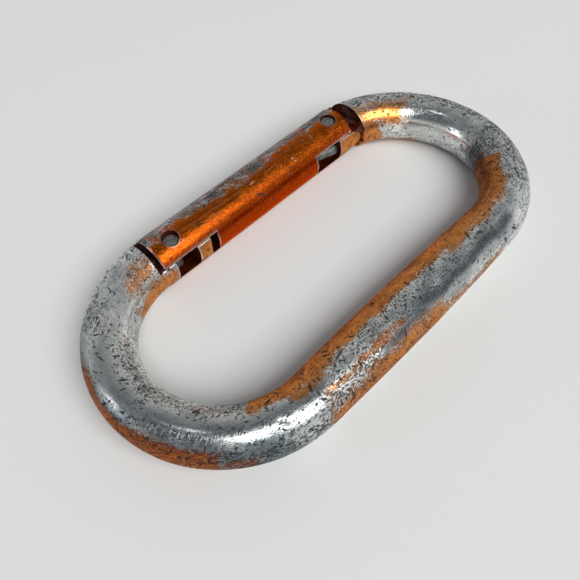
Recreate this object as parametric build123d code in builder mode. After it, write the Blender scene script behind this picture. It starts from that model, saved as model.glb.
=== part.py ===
from build123d import *
import os
from math import asin, atan2, cos, hypot, sin, sqrt, tan

# Pin-latch oval carabiner, in millimetres, lying flat on its side.
# +X runs along its length towards the hinge, +Y across it towards the gate, +Z up.
# The origin is under the middle of its outline, on the surface that it lies on.

# Outline of the bent bar
overall_length = 108.0
overall_width = 55.8
bar_diameter = 11.3
milled_arc = 25.0  # degrees of each bow next to the gate, which the milling cuts into

# Gate
gate_diameter = 11.3
latch_overrun = 1.2  # the gate's latch end, past the start of that bow
hinge_overrun = 2.9  # the gate's hinge end, past the start of that bow
latch_gap = 1.45  # from the gate's latch end to the body's shoulder
hinge_gap = 3.15  # from the gate's hinge end to the body's shoulder
gate_edge_break = 0.35
slot_width = 5.3
slot_cutter_radius = 25.0  # disc cutter that leaves a hollow end in each slot
tongue_clearance = 0.2  # between a cheek of the gate and the tongue or tang in its slot

# Latch end
latch_rivet_inset = 4.75  # from the gate's latch end
latch_rivet_offset = 1.35  # from the gate's axis towards the inside of the oval
notch_back_play = 0.75  # rivet to the root side of the notch
notch_front_play = 2.15  # rivet to the hook
notch_floor_play = 0.15  # rivet to the floor of the notch, which stops the gate
hook_length = 3.3
hook_end_play = 2.5  # hook to the deepest point of the slot

# Hinge end
hinge_rivet_inset = 3.75  # from the gate's hinge end
hinge_rivet_offset = 0.4  # from the gate's axis towards the inside of the oval
hinge_running_clearance = 0.05  # radial, between the rivet and the hole in the tang
hinge_slot_depth = 12.9  # from the gate's hinge end to the deepest point of the slot
step_lead = 0.8  # the tang's step stands this far from the hinge axis, on the latch side

# Rivets
rivet_diameter = 2.8
rivet_head_diameter = 3.1
rivet_head_thickness = 0.9
counterbore_diameter = 3.7
rivet_head_recess = 0.1  # below the lowest point of the counterbore's rim

# Push rod and spring
rod_diameter = 2.6
rod_arm = 3.82  # from the hinge axis to the rod's own axis
rod_gap = 0.05  # between the rod's tip and the step
rod_side_clearance = 0.12  # between the rod and the tang beside it
rod_lip_clearance = 0.225  # between the rod and the lip of the bore, which sets its slope
button_diameter = 4.8  # head of the rod, which the spring pushes
button_thickness = 1.3
button_edge_break = 0.4
button_offset = 0.3  # from the gate's axis to the back of the button, with the gate shut
bore_diameter = 6.6
bore_depth = 19.0  # from the deepest point of the hinge slot
spring_wire = 0.8
spring_wire_sides = 6
spring_mean_diameter = 5.2
spring_pitch = 3.0
spring_seat_gap = 0.12

# Worked out from the sizes above
mid_height = bar_diameter / 2
bar_radius = bar_diameter / 2
gate_radius = gate_diameter / 2
gate_y = overall_width / 2 - bar_radius
bow_radius = gate_y  # of the bar's centreline, round the middle of each bow
bow_x = overall_length / 2 - bar_radius - bow_radius

gate_latch_x = -bow_x - latch_overrun
gate_hinge_x = bow_x + hinge_overrun
latch_shoulder_x = gate_latch_x - latch_gap
hinge_shoulder_x = gate_hinge_x + hinge_gap
tongue_thickness = slot_width - 2 * tongue_clearance

rivet_radius = rivet_diameter / 2
latch_rivet_x = gate_latch_x + latch_rivet_inset
latch_rivet_y = gate_y - latch_rivet_offset
notch_root_x = latch_rivet_x - rivet_radius - notch_back_play
notch_hook_x = latch_rivet_x + rivet_radius + notch_front_play
notch_floor_y = latch_rivet_y + rivet_radius + notch_floor_play
hook_tip_x = notch_hook_x + hook_length
latch_slot_bottom_x = hook_tip_x + hook_end_play

hinge_x = gate_hinge_x - hinge_rivet_inset
hinge_y = gate_y - hinge_rivet_offset
hinge_slot_bottom_x = gate_hinge_x - hinge_slot_depth
step_x = hinge_x - step_lead
nose_radius = gate_radius + hinge_rivet_offset  # swings flush with the outside of the gate

# The rod's axis runs from its tip, against the step, up to the gate's axis inside the bore.
rod_radius = rod_diameter / 2
button_radius = button_diameter / 2
lip_run = hinge_x - hinge_slot_bottom_x
lip_drop = hinge_y - gate_y + bore_diameter / 2
lip_reach = rod_arm + rod_radius + rod_lip_clearance
tilt = asin(lip_reach / hypot(lip_run, lip_drop)) - atan2(lip_drop, lip_run)
foot_x = hinge_x - rod_arm * sin(tilt)  # the point of the rod's axis nearest the hinge axis
foot_y = hinge_y - rod_arm * cos(tilt)
tip_x = step_x - rod_gap - rod_radius
tip_y = foot_y + (foot_x - tip_x) * tan(tilt)
button_y = gate_y - button_offset
button_x = tip_x - (button_y - tip_y) / tan(tilt)
rod_length = (tip_x - button_x) / cos(tilt)

bore_bottom_x = hinge_slot_bottom_x - bore_depth
spring_radius = spring_mean_diameter / 2
wire_radius = spring_wire / 2
spring_start_x = bore_bottom_x + wire_radius + spring_seat_gap
spring_end_x = button_x - button_radius * sin(tilt) - wire_radius - spring_seat_gap


def rim_height(offset):
    """Height above the gate's axis of the lowest point of a counterbore's rim."""
    return sqrt(gate_radius**2 - (offset + counterbore_diameter / 2) ** 2)


# Body: one round bar, bent to an oval that stops short of closing. Its two ends are made first and
# milled, to a tongue for the latch and a tang for the hinge.
with BuildPart() as body:
    for side, end_x in ((-1, hook_tip_x), (1, hinge_x - nose_radius)):
        with BuildSketch(Plane.YZ.offset(side * bow_x)) as bar_end:
            with Locations((gate_y, mid_height)):
                Circle(bar_radius)
        extrude(amount=end_x - side * bow_x)
        bow_axis = Axis((side * bow_x, 0, 0), (0, 0, -side))
        revolve(bar_end.sketch, axis=bow_axis, revolution_arc=milled_arc)

    # Flats above and below the tongue and the tang, seen from the side.
    for end_x, shoulder_x in ((hook_tip_x, latch_shoulder_x), (hinge_x - nose_radius, hinge_shoulder_x)):
        run = 2 * abs(end_x - shoulder_x)
        away = 1 if end_x > shoulder_x else -1
        for side in (1, -1):
            flat_z = mid_height + side * (tongue_thickness + bar_diameter) / 2
            with BuildSketch(Plane.XZ.offset(-gate_y)):
                with Locations((shoulder_x + away * run / 2, flat_z)):
                    Rectangle(run, bar_diameter)
            extrude(amount=bar_diameter, both=True, mode=Mode.SUBTRACT)

    # Notch that takes the latch rivet, open to the inside, with the hook beyond it.
    with BuildSketch(Plane.XY):
        with Locations(((notch_root_x + notch_hook_x) / 2, notch_floor_y - bar_diameter / 2)):
            notch = Rectangle(notch_hook_x - notch_root_x, bar_diameter)
        floor_corners = notch.vertices().group_by(Axis.Y)[-1].sort_by(Axis.X)
        fillet(floor_corners[0], rivet_radius)
        fillet(floor_corners[1], rivet_radius + notch_floor_play)
    extrude(amount=bar_diameter, mode=Mode.SUBTRACT)

    # Round nose on the tang, cut back to a step on its inner side, where the rod pushes.
    relief_reach = rod_arm - rod_radius - rod_side_clearance
    relief_at_step = hinge_y - relief_reach / cos(tilt) + step_lead * tan(tilt)
    far_x = hinge_x - 2 * nose_radius
    with BuildSketch(Plane.XY):
        with Locations((hinge_x - nose_radius, gate_y)):
            Rectangle(2 * nose_radius, 2 * bar_diameter)
        with Locations((hinge_x, hinge_y)):
            Circle(nose_radius, mode=Mode.SUBTRACT)
        with BuildLine():
            Polyline(
                (step_x, relief_at_step),
                (far_x, relief_at_step + (step_x - far_x) * tan(tilt)),
                (far_x, gate_y - bar_diameter),
                (step_x, gate_y - bar_diameter),
                close=True,
            )
        make_face()
    extrude(amount=bar_diameter, mode=Mode.SUBTRACT)

    # Hole in the tang, in which the hinge rivet turns.
    with BuildSketch(Plane.XY):
        with Locations((hinge_x, hinge_y)):
            Circle(rivet_radius + hinge_running_clearance)
    extrude(amount=bar_diameter, mode=Mode.SUBTRACT)

    # The rest of both bows, and the back. The seams with the milled ends are kept.
    for side in (-1, 1):
        with BuildSketch(Plane.YZ.offset(side * bow_x)):
            with Locations((-gate_y, mid_height)):
                Circle(bar_radius)
        bow_axis = Axis((side * bow_x, 0, 0), (0, 0, side))
        revolve(axis=bow_axis, revolution_arc=180 - milled_arc, clean=False)
    with BuildSketch(Plane.YZ.offset(-bow_x)):
        with Locations((-gate_y, mid_height)):
            Circle(bar_radius)
    extrude(amount=2 * bow_x, clean=False)

# Gate: solid round bar, slotted at both ends and bored for the spring from the hinge slot.
with BuildPart() as gate:
    with BuildSketch(Plane.YZ.offset(gate_latch_x)):
        with Locations((gate_y, mid_height)):
            Circle(gate_radius)
    extrude(amount=gate_hinge_x - gate_latch_x)
    chamfer(gate.edges().filter_by(GeomType.CIRCLE), gate_edge_break)

    with BuildSketch(Plane.YZ.offset(bore_bottom_x)):
        with Locations((gate_y, mid_height)):
            Circle(bore_diameter / 2)
    extrude(amount=gate_hinge_x - bore_bottom_x, mode=Mode.SUBTRACT)

    for bottom_x, open_x in ((latch_slot_bottom_x, gate_latch_x), (hinge_slot_bottom_x, gate_hinge_x)):
        away = 1 if open_x > bottom_x else -1
        with BuildSketch(Plane.XY.offset(mid_height)):
            with Locations((bottom_x + away * slot_cutter_radius, gate_y)):
                Circle(slot_cutter_radius)
        extrude(amount=slot_width / 2, both=True, mode=Mode.SUBTRACT)

    for rivet_x, rivet_y, offset in (
        (latch_rivet_x, latch_rivet_y, latch_rivet_offset),
        (hinge_x, hinge_y, hinge_rivet_offset),
    ):
        seat = rim_height(offset) - rivet_head_recess - rivet_head_thickness
        with BuildSketch(Plane.XY):
            with Locations((rivet_x, rivet_y)):
                Circle(rivet_radius)
        extrude(amount=bar_diameter, mode=Mode.SUBTRACT)
        for side in (1, -1):
            with BuildSketch(Plane.XY.offset(mid_height + side * seat)):
                with Locations((rivet_x, rivet_y)):
                    Circle(counterbore_diameter / 2)
            extrude(amount=side * gate_radius, mode=Mode.SUBTRACT)

# Rivets: a shank through both cheeks, with a low head formed in each counterbore.
rivets = (
    ("latch_rivet", latch_rivet_x, latch_rivet_y, latch_rivet_offset),
    ("hinge_rivet", hinge_x, hinge_y, hinge_rivet_offset),
)
rivet_parts = []
for name, rivet_x, rivet_y, offset in rivets:
    head_top = rim_height(offset) - rivet_head_recess
    seat = head_top - rivet_head_thickness
    head_radius = rivet_head_diameter / 2
    with BuildPart() as rivet:
        with BuildSketch(Plane((rivet_x, rivet_y, mid_height), x_dir=(1, 0, 0), z_dir=(0, -1, 0))):
            Rectangle(rivet_radius, 2 * seat, align=(Align.MIN, Align.CENTER))
            for side in (1, -1):
                with Locations((0, side * (seat + head_top) / 2)):
                    Rectangle(head_radius, rivet_head_thickness, align=(Align.MIN, Align.CENTER))
        revolve(axis=Axis((rivet_x, rivet_y, mid_height), (0, 0, 1)))
    rivet.part.label = name
    rivet_parts.append(rivet.part)

# Push rod: a round tip that bears on the tang's step, and a button in the bore.
rod_plane = Plane((button_x, button_y, mid_height), x_dir=(cos(tilt), -sin(tilt), 0), z_dir=(0, 0, 1))
with BuildPart() as push_rod:
    with BuildSketch(rod_plane):
        with BuildLine():
            Polyline(
                (0, 0),
                (0, button_radius - button_edge_break),
                (button_edge_break, button_radius),
                (button_thickness, button_radius),
                (button_thickness, rod_radius),
                (rod_length, rod_radius),
            )
            JernArc((rod_length, rod_radius), (1, 0), rod_radius, -90)
            Line((rod_length + rod_radius, 0), (0, 0))
        make_face()
    revolve(axis=Axis(rod_plane.origin, rod_plane.x_dir))

# Spring: a plain coil between the bottom of the bore and the button.
with BuildPart() as gate_spring:
    with BuildLine():
        coil = Helix(
            spring_pitch,
            spring_end_x - spring_start_x,
            spring_radius,
            center=(spring_start_x, gate_y, mid_height),
            direction=(1, 0, 0),
        )
    with BuildSketch(Plane(origin=coil @ 0, z_dir=coil % 0)):
        RegularPolygon(wire_radius, spring_wire_sides)
    sweep(is_frenet=True)

os.makedirs("parts", exist_ok=True)
body.part.label = "body"
gate.part.label = "gate"
push_rod.part.label = "push_rod"
gate_spring.part.label = "gate_spring"
for piece in (body.part, gate.part, *rivet_parts, push_rod.part, gate_spring.part):
    export_step(piece, f"parts/{piece.label}.step")
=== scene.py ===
import math
import bpy
import numpy as np
from mathutils import Matrix, Vector


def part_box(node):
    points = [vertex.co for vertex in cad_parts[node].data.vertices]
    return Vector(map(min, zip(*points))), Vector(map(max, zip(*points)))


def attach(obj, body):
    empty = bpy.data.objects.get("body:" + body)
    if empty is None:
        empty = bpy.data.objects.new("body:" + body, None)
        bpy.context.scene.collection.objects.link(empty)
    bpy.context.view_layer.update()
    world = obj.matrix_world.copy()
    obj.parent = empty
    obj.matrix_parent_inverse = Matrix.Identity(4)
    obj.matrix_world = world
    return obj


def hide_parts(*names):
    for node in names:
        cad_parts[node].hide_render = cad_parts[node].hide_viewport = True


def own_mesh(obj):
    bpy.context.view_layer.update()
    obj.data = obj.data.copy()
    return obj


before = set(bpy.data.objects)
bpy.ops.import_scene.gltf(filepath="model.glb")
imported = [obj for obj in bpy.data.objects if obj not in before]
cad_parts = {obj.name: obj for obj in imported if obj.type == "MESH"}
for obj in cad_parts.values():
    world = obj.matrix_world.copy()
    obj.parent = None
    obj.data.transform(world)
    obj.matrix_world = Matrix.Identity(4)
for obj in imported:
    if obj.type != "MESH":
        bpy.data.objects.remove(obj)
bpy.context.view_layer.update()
scene = bpy.context.scene
print("frame loaded")

# All the lengths below are in millimetres until fillMesh writes them.
# The bar is followed by s, the length along it from where the latch bow starts, and by an angle round
# its section: 0 on the outside of the oval, 90 on top, 180 on the inside, 270 underneath.
millimetre = 0.001

bentBar = {
    "bowRadius": 22.07, "bowX": 26.76, "bowY": 0.18, "halfHeight": 5.64,
    "crownHalfWidth": 5.17,  # the bar is drawn thinner round each bow
    "backEndHalfWidth": 5.53, "backHalfWidth": 6.0, "ringStep": 0.31,
    "sidePoints": 21,  # points across each narrow side of a section
    "topPoints": 44,  # points across its top, and across its underside
}
bowLength = math.pi * bentBar["bowRadius"]
backLength = 2 * bentBar["bowX"]
barLength = 2 * bowLength + backLength
barRadius = 5.65  # where the bows meet the gate. An angle round the bar times this is a width on its skin.
barLap = 2 * math.pi * barRadius  # once round the bar
axisY = 22.25  # axis of the gate and of the milled ends
axisZ = 5.65

milledEnds = {
    "halfThickness": 2.45, "edgeBreak": 0.16, "latchShoulderX": -28.75,
    "notchRootX": -24.7, "notchHookX": -19.0, "notchFloorY": 22.45, "rootCorner": 1.4, "hookCorner": 1.55,
    "hookTipX": -15.7, "hookTipRound": 0.5, "hingeShoulderX": 32.15,
    "hingeX": 25.25, "hingeY": 21.85, "noseRadius": 6.05,
    "stepX": 24.45, "stepFootY": 19.58, "stepSlope": 0.2915, "pinHole": 1.45, "ringStep": 0.3,
}


def smooth(low, high, value):
    # Eases from 0 to 1 as value goes from low to high.
    t = np.clip((value - low) / (high - low), 0, 1)
    return t * t * (3 - 2 * t)


def softNoise(x, y, z, seed):
    # Sum of sines in turned directions, about -1 to 1, for slow swells in a surface.
    rng = np.random.default_rng(seed)
    total = np.zeros(np.broadcast(x, y, z).shape)
    for turn in range(7):
        way = rng.normal(size=3)
        way = way / np.linalg.norm(way)
        pitch = rng.uniform(0.5, 1.6)
        total = total + np.sin(pitch * (way[0] * x + way[1] * y + way[2] * z) + rng.uniform(0, 6.28))
    return total / 4


def centreLine(s):
    # Position and outward direction at length s: half circle, straight back, half circle.
    radius, bowX, bowY = bentBar["bowRadius"], bentBar["bowX"], bentBar["bowY"]
    first = math.pi / 2 + np.clip(s, 0, bowLength) / radius
    second = -math.pi / 2 + np.clip(s - bowLength - backLength, 0, bowLength) / radius
    along = np.clip(s - bowLength, 0, backLength)
    onFirst, onSecond = s < bowLength, s > bowLength + backLength
    x = np.where(onFirst, -bowX + radius * np.cos(first), -bowX + along)
    y = np.where(onFirst, bowY + radius * np.sin(first), bowY - radius)
    x = np.where(onSecond, bowX + radius * np.cos(second), x)
    y = np.where(onSecond, bowY + radius * np.sin(second), y)
    outX = np.where(onFirst, np.cos(first), np.where(onSecond, np.cos(second), 0))
    outY = np.where(onFirst, np.sin(first), np.where(onSecond, np.sin(second), -1))
    return x, y, outX, outY


def halfWidth(s):
    # The bar is thinnest at each bow's crown and fullest in the middle of the back.
    end, crown = barRadius, bentBar["crownHalfWidth"]
    backEnd, back = bentBar["backEndHalfWidth"], bentBar["backHalfWidth"]
    t = np.clip(s / bowLength, 0, 1)
    u = np.clip((s - bowLength) / backLength, 0, 1)
    v = np.clip((s - bowLength - backLength) / bowLength, 0, 1)
    straight = backEnd + (back - backEnd) * np.sin(math.pi * u)

    def bow(share, start, finish):
        ends = np.where(share < 0.5, start, finish)
        return ends + (crown - ends) * np.sin(math.pi * share) ** 0.8

    onBack = np.where(s < bowLength + backLength, straight, bow(v, backEnd, end))
    return np.where(s < bowLength, bow(t, end, backEnd), onBack)


def sectionAngles():
    # Angles of the section's points: the narrow outer and inner arcs lie between the milled flats.
    corner = math.asin(milledEnds["halfThickness"] / barRadius)
    gap = math.radians(0.8)
    side = np.linspace(-corner + gap, corner - gap, bentBar["sidePoints"])
    top = np.linspace(corner + gap, math.pi - corner - gap, bentBar["topPoints"])
    return np.concatenate([side, top, side + math.pi, top + math.pi])


def dentDepth(s, phi, knocks):
    # Depth of the knocks: each is a short trough between two points on the skin.
    depth = np.zeros(np.broadcast(s, phi).shape)
    for fromS, fromPhi, toS, toPhi, width, deep in knocks.values():
        startX, startY = fromS, math.radians(fromPhi) * barRadius
        runX, runY = toS - startX, math.radians(toPhi) * barRadius - startY
        x, y = s - startX, phi * barRadius - startY
        share = np.clip((x * runX + y * runY) / (runX ** 2 + runY ** 2), 0, 1)
        away = np.hypot(x - share * runX, y - share * runY)
        depth = np.maximum(depth, deep * np.exp(-(away / width) ** 2))
    return depth


# Knocks in the body: from s, from angle, to s, to angle, width, depth.
dents = {
    "outerGouge": (49.3, 15, 51.2, 30, 0.45, 0.14), "latchScore": (13, 101, 18.3, 74, 0.35, 0.1),
    "shoulderScore": (-1, 80, 9, 82, 0.3, 0.06), "crossingA": (70.5, 62, 73.5, 24, 0.4, 0.12),
    "crossingB": (71.5, 34, 77, 18, 0.35, 0.1), "highlightPit": (61.6, 70, 62.6, 60, 0.4, 0.1),
    # Along the strip's inner edge, near angle 139, two shallow grooves are darkened as a painted shade line.
    "backScore": (124, 124, 130.5, 121, 0.35, 0.1), "stripShadeLineA": (64, 139.5, 92, 138.5, 0.2, 0.06),
    "stripShadeLineB": (95, 138.5, 138, 139.5, 0.2, 0.06), "bowNickA": (31, 128, 32, 116, 0.35, 0.08),
    "bowNickB": (33.4, 125, 34.2, 112, 0.35, 0.08), "bowNickC": (52.3, 112, 56, 118, 0.3, 0.08),
    "hingePits": (150, 176, 152.5, 172, 0.7, 0.1), "hingeNick": (142.8, 150, 144.6, 136, 0.5, 0.08),
    "underNickA": (60, 262, 66, 247, 0.4, 0.1), "underNickB": (108, 280, 112, 262, 0.4, 0.1),
    "underNickC": (160, 300, 163, 280, 0.4, 0.1),
}


def milledRings(x, outerY, innerY):
    # Sections across a milled end: flats above and below, round bar left on the outer and inner sides
    # unless outerY or innerY cuts them back.
    flat = milledEnds["halfThickness"]
    x, outerY, innerY = (np.asarray(v, float)[:, None] for v in (x, outerY, innerY))
    room = np.clip((outerY - innerY) / 2, 0.01, 9)
    bevel = np.minimum(milledEnds["edgeBreak"], room * 0.8)
    side = np.linspace(-1, 1, bentBar["sidePoints"])[None, :] * (flat - bevel)
    roundOut = axisY + np.sqrt(barRadius ** 2 - side ** 2)
    outSide = np.minimum(roundOut, outerY)
    inSide = np.maximum(2 * axisY - roundOut, innerY)
    share = np.linspace(0, 1, bentBar["topPoints"])[None, :]
    rim = math.sqrt(barRadius ** 2 - flat ** 2)
    outRim = np.minimum(axisY + rim, outerY) - bevel
    inRim = np.maximum(axisY - rim, innerY) + bevel
    top = outRim + (inRim - outRim) * share
    y = np.concatenate([outSide, top, inSide, top[:, ::-1]], 1)
    z = np.concatenate([side, np.full_like(top, flat), side[:, ::-1], np.full_like(top, -flat)], 1)
    return np.stack([np.broadcast_to(x, y.shape), y, z], 2)


def tongueRings():
    # The latch end's tongue, from the hook's tip over the notch to the shoulder.
    cut = milledEnds
    low, step, floorY = axisY - barRadius, cut["ringStep"], cut["notchFloorY"]
    hook, root, shoulder = cut["notchHookX"], cut["notchRootX"], cut["latchShoulderX"]
    quarter = np.radians(np.linspace(0, 90, 7))
    run, rise = 1 - np.cos(quarter), 1 - np.sin(quarter)
    tipRound = cut["hookTipRound"]
    tipX, tipTrim = cut["hookTipX"] - tipRound * run, tipRound * rise
    hookX = np.arange(cut["hookTipX"] - tipRound - step, hook + 0.1, -step)
    hookCornerX, hookCornerY = hook - cut["hookCorner"] * run, floorY - cut["hookCorner"] * rise
    rootCornerX = root + cut["rootCorner"] * run[::-1]
    rootCornerY = floorY - cut["rootCorner"] * rise[::-1]
    floorX = np.arange(hookCornerX[-1] - step, rootCornerX[0], -step)
    rootX = np.arange(root - step, shoulder, -step)
    x = np.concatenate([tipX, hookX, [hook], hookCornerX, floorX, rootCornerX, [root], rootX, [shoulder]])
    innerY = np.concatenate([low + tipTrim, 0 * hookX + low, [low], hookCornerY, 0 * floorX + floorY,
                             rootCornerY, [low], 0 * rootX + low, [low]])
    outerY = np.full(len(x), axisY + barRadius)
    outerY[:len(tipX)] -= tipTrim
    return milledRings(x, outerY, innerY)


def bentRings():
    # The bent bar. Its first and last rings lie in the flat faces of the shoulders.
    radius, flatter, phi = bentBar["bowRadius"], bentBar["halfHeight"], sectionAngles()
    reach = radius + barRadius * np.cos(phi)
    startS = radius * np.arcsin((-bentBar["bowX"] - milledEnds["latchShoulderX"]) / reach)
    endS = barLength - radius * np.arcsin((milledEnds["hingeShoulderX"] - bentBar["bowX"]) / reach)
    t = np.linspace(0, 1, int((barLength - 8) / bentBar["ringStep"]))[:, None]
    base = startS.mean() + (endS.mean() - startS.mean()) * t
    s = base + (startS - startS.mean()) * (1 - smooth(0, 9, base - startS.mean()))
    s = s + (endS - endS.mean()) * (1 - smooth(0, 14, endS.mean() - base))
    x, y, outX, outY = centreLine(s)
    away = halfWidth(s)
    nearEnd = 1 - smooth(0, 6, np.minimum(base, barLength - base) - 2)
    height = flatter + (barRadius - flatter) * nearEnd
    inMiddle = smooth(0, 1.5, np.minimum(base - startS.mean(), endS.mean() - base))
    # Slow swells of 0.035 mm, kept inside the bar's own size, and the knocks.
    swell = 0.035 * softNoise(s * 0.9, away * np.cos(phi), away * np.sin(phi), 4) - 0.033
    swell = inMiddle * (swell - dentDepth(s, np.broadcast_to(np.mod(phi, 2 * math.pi), s.shape), dents))
    across, up = (away + swell) * np.cos(phi), (height + swell) * np.sin(phi)
    return np.stack([x + across * outX, y + across * outY, up], 2)


def tangRings():
    # The hinge end's tang, from the shoulder to its round nose, with the step on its inner side.
    cut = milledEnds
    noseTurn = np.radians(np.linspace(0, 90, 26))
    hingeX, hingeY, nose = cut["hingeX"], cut["hingeY"], cut["noseRadius"]
    plainX = np.arange(cut["hingeShoulderX"], hingeX + 0.1, -cut["ringStep"])
    noseX = hingeX - nose * np.sin(noseTurn)
    noseX[-1] = hingeX - nose + 0.004
    x = np.concatenate([plainX, noseX])
    stepAt = np.searchsorted(-x, -cut["stepX"])
    x = np.insert(x, stepAt, [cut["stepX"] + 1e-4, cut["stepX"]])
    drop = np.sqrt(np.clip(nose ** 2 - np.clip(hingeX - x, 0, nose) ** 2, 1e-4, None))
    ramp = cut["stepFootY"] + (cut["stepX"] - x) * cut["stepSlope"]
    outerY = np.where(x < hingeX, hingeY + drop, axisY + barRadius)
    innerY = np.where(x < hingeX, hingeY - drop, axisY - barRadius)
    innerY = np.where(x <= cut["stepX"], np.maximum(ramp, innerY), innerY)
    return milledRings(x, outerY, innerY)


def barGrid():
    # All the rings in one run, tongue, bent bar and tang. Each shoulder face has one more ring just inside
    # its round edge.
    tongue, bent, tang = tongueRings(), bentRings(), tangRings()
    firstLip = 0.94 * bent[:1] + 0.06 * tongue[-1:]
    lastLip = 0.94 * bent[-1:] + 0.06 * tang[:1]
    points = np.concatenate([tongue, firstLip, bent, lastLip, tang], 0)
    points[:, :, 2] += axisZ
    return points


def addObject(name, data):
    piece = bpy.data.objects.new(name, data)
    scene.collection.objects.link(piece)
    return piece


def fillMesh(name, points, faces, smoothAngle=38):
    # Puts millimetre points and faces into a new mesh object in metres, smooth up to the given crease angle.
    mesh = bpy.data.meshes.new(name)
    mesh.from_pydata((np.asarray(points).reshape(-1, 3) * millimetre).tolist(), [], [list(f) for f in faces])
    mesh.update()
    piece = addObject(name, mesh)
    mesh.polygons.foreach_set("use_smooth", np.ones(len(mesh.polygons), bool))
    mesh.set_sharp_from_angle(angle=math.radians(smoothAngle))
    return piece


def tubeWithEnds(rings):
    # Quads round a tube of rings, closed with a fan at each end.
    rows, columns = rings.shape[:2]
    points = np.concatenate([rings.reshape(-1, 3), rings[0].mean(0)[None], rings[-1].mean(0)[None]], 0)
    first, last, base = rows * columns, rows * columns + 1, (rows - 1) * columns
    j = np.arange(columns)
    k = (j + 1) % columns
    i = np.arange(rows - 1)[:, None] * columns
    sides = np.stack([i + j, i + columns + j, i + columns + k, i + k], 2).reshape(-1, 4)
    start = np.stack([np.full(columns, first), j, k], 1)
    end = np.stack([np.full(columns, last), base + k, base + j], 1)
    return points, [*sides.tolist(), *start.tolist(), *end.tolist()]


def roundCutter(name, axis, centre, radius, low, high, count=96):
    # A closed cylinder along an axis, to cut a hole, slot or bore with. Its faces have to look outward.
    turn = np.linspace(0, 2 * math.pi, count, endpoint=False)
    a, b, c = np.broadcast_arrays(radius * np.cos(turn), radius * np.sin(turn), [[low], [high]])
    rings = np.stack({"x": (c, b, a), "z": (b, a, c)}[axis], 2) + np.array(centre)
    return fillMesh(name, *tubeWithEnds(rings))


def cutAway(piece, cutters):
    # Takes each cutter out of the piece for good.
    for cutter in cutters:
        step = piece.modifiers.new("cut", "BOOLEAN")
        step.operation = "DIFFERENCE"
        step.solver = "EXACT"
        step.object = cutter
        bpy.context.view_layer.update()
        result = bpy.data.meshes.new_from_object(piece.evaluated_get(bpy.context.evaluated_depsgraph_get()))
        piece.modifiers.clear()
        old = piece.data
        piece.data = result
        bpy.data.meshes.remove(old)
        bpy.data.objects.remove(cutter)
    piece.data.name = piece.name


def readValues(items, field, width=1, kind=np.int32):
    values = np.empty(len(items) * width, kind)
    items.foreach_get(field, values)
    return values


def readVectors(items, field):
    # Places of a mesh's points or faces, in millimetres.
    return readValues(items, field, 3, np.float32).reshape(-1, 3).astype(float) / millimetre


def writeAttribute(mesh, name, values, domain="POINT"):
    kind, field = ("FLOAT_VECTOR", "vector") if values.ndim == 2 else ("FLOAT", "value")
    layer = mesh.attributes.new(name, kind, domain)
    layer.data.foreach_set(field, values.astype(np.float32).ravel())


def writePoints(mesh, **layers):
    for name, values in layers.items():
        writeAttribute(mesh, name, values)


def writeFaces(mesh, along, phi, rim, hollowShade):
    # The skin unrolled to millimetres, the hollow faces, painted near black as shade, and the bright edge, which
    # no hollow face has.
    corner, starts = readValues(mesh.loops, "vertex_index"), readValues(mesh.polygons, "loop_start")
    owner = np.repeat(np.arange(len(starts)), readValues(mesh.polygons, "loop_total"))
    around = (phi * barRadius)[corner]
    # A face that crosses the seam at angle 0 keeps its corners together.
    highest = np.maximum.reduceat(around, starts)[owner]
    around = np.where(highest - around > barLap / 2, around + barLap, around)
    skin = mesh.uv_layers.new(name="skin")
    skin.data.foreach_set("uv", np.stack([along[corner], around], 1).astype(np.float32).ravel())
    writeAttribute(mesh, "hollowShade", 1.0 * hollowShade, "FACE")
    writeAttribute(mesh, "rim", rim[corner] * (1.0 - hollowShade[owner]), "CORNER")


def barPlace(points):
    # Turns a point near the bar into its length s along it and its angle phi round it.
    x, y, up = points[:, 0], points[:, 1] - bentBar["bowY"], points[:, 2] - axisZ
    bowX, radius = bentBar["bowX"], bentBar["bowRadius"]
    left, right = x <= -bowX, x >= bowX
    milled = (y > 0) & ~left & ~right
    turnLeft = np.mod(np.arctan2(y, x + bowX) - math.pi / 2, 2 * math.pi)
    turnRight = np.arctan2(y, x - bowX) + math.pi / 2
    s = np.where(milled, np.where(x < 0, -(x + bowX), barLength + bowX - x), bowLength + x + bowX)
    s = np.where(left, turnLeft * radius, s)
    s = np.where(right, bowLength + backLength + turnRight * radius, s)
    out = np.where(milled, points[:, 1] - axisY, -radius - y)
    out = np.where(left | right, np.hypot(np.abs(x) - bowX, y) - radius, out)
    return s, np.mod(np.arctan2(up, out), 2 * math.pi), out, up


def patchCover(s, phi, patches, seed=21):
    # The strongest of the named patches at each point. Their edges fade, and wander with the noise.
    cover = np.zeros(len(s))
    wander = softNoise(s * 0.55, 4 * np.cos(phi), 4 * np.sin(phi), seed)
    drift = softNoise(s * 0.8, 6 * np.cos(phi), 6 * np.sin(phi), seed + 1)
    s = s + 1.5 * wander
    phi = np.mod(phi + 0.13 * drift, 2 * math.pi)
    nearby = 12  # a point further than this from a patch counts from the other way round
    for fromS, toS, fromPhi, toPhi, strength, edge in patches.values():
        low, high = math.radians(fromPhi) * barRadius, math.radians(toPhi) * barRadius
        skin = phi * barRadius
        skin = np.where(skin > high + nearby, skin - barLap, skin)
        skin = np.where(skin < low - nearby, skin + barLap, skin)
        past, over = np.maximum(fromS - s, s - toS), np.maximum(low - skin, skin - high)
        away = np.maximum(past, over)
        away = np.where(away > 0, np.hypot(np.maximum(past, 0), np.maximum(over, 0)), away)
        cover = np.maximum(cover, strength * (1 - smooth(-edge, edge, away)))
    return cover


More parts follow.
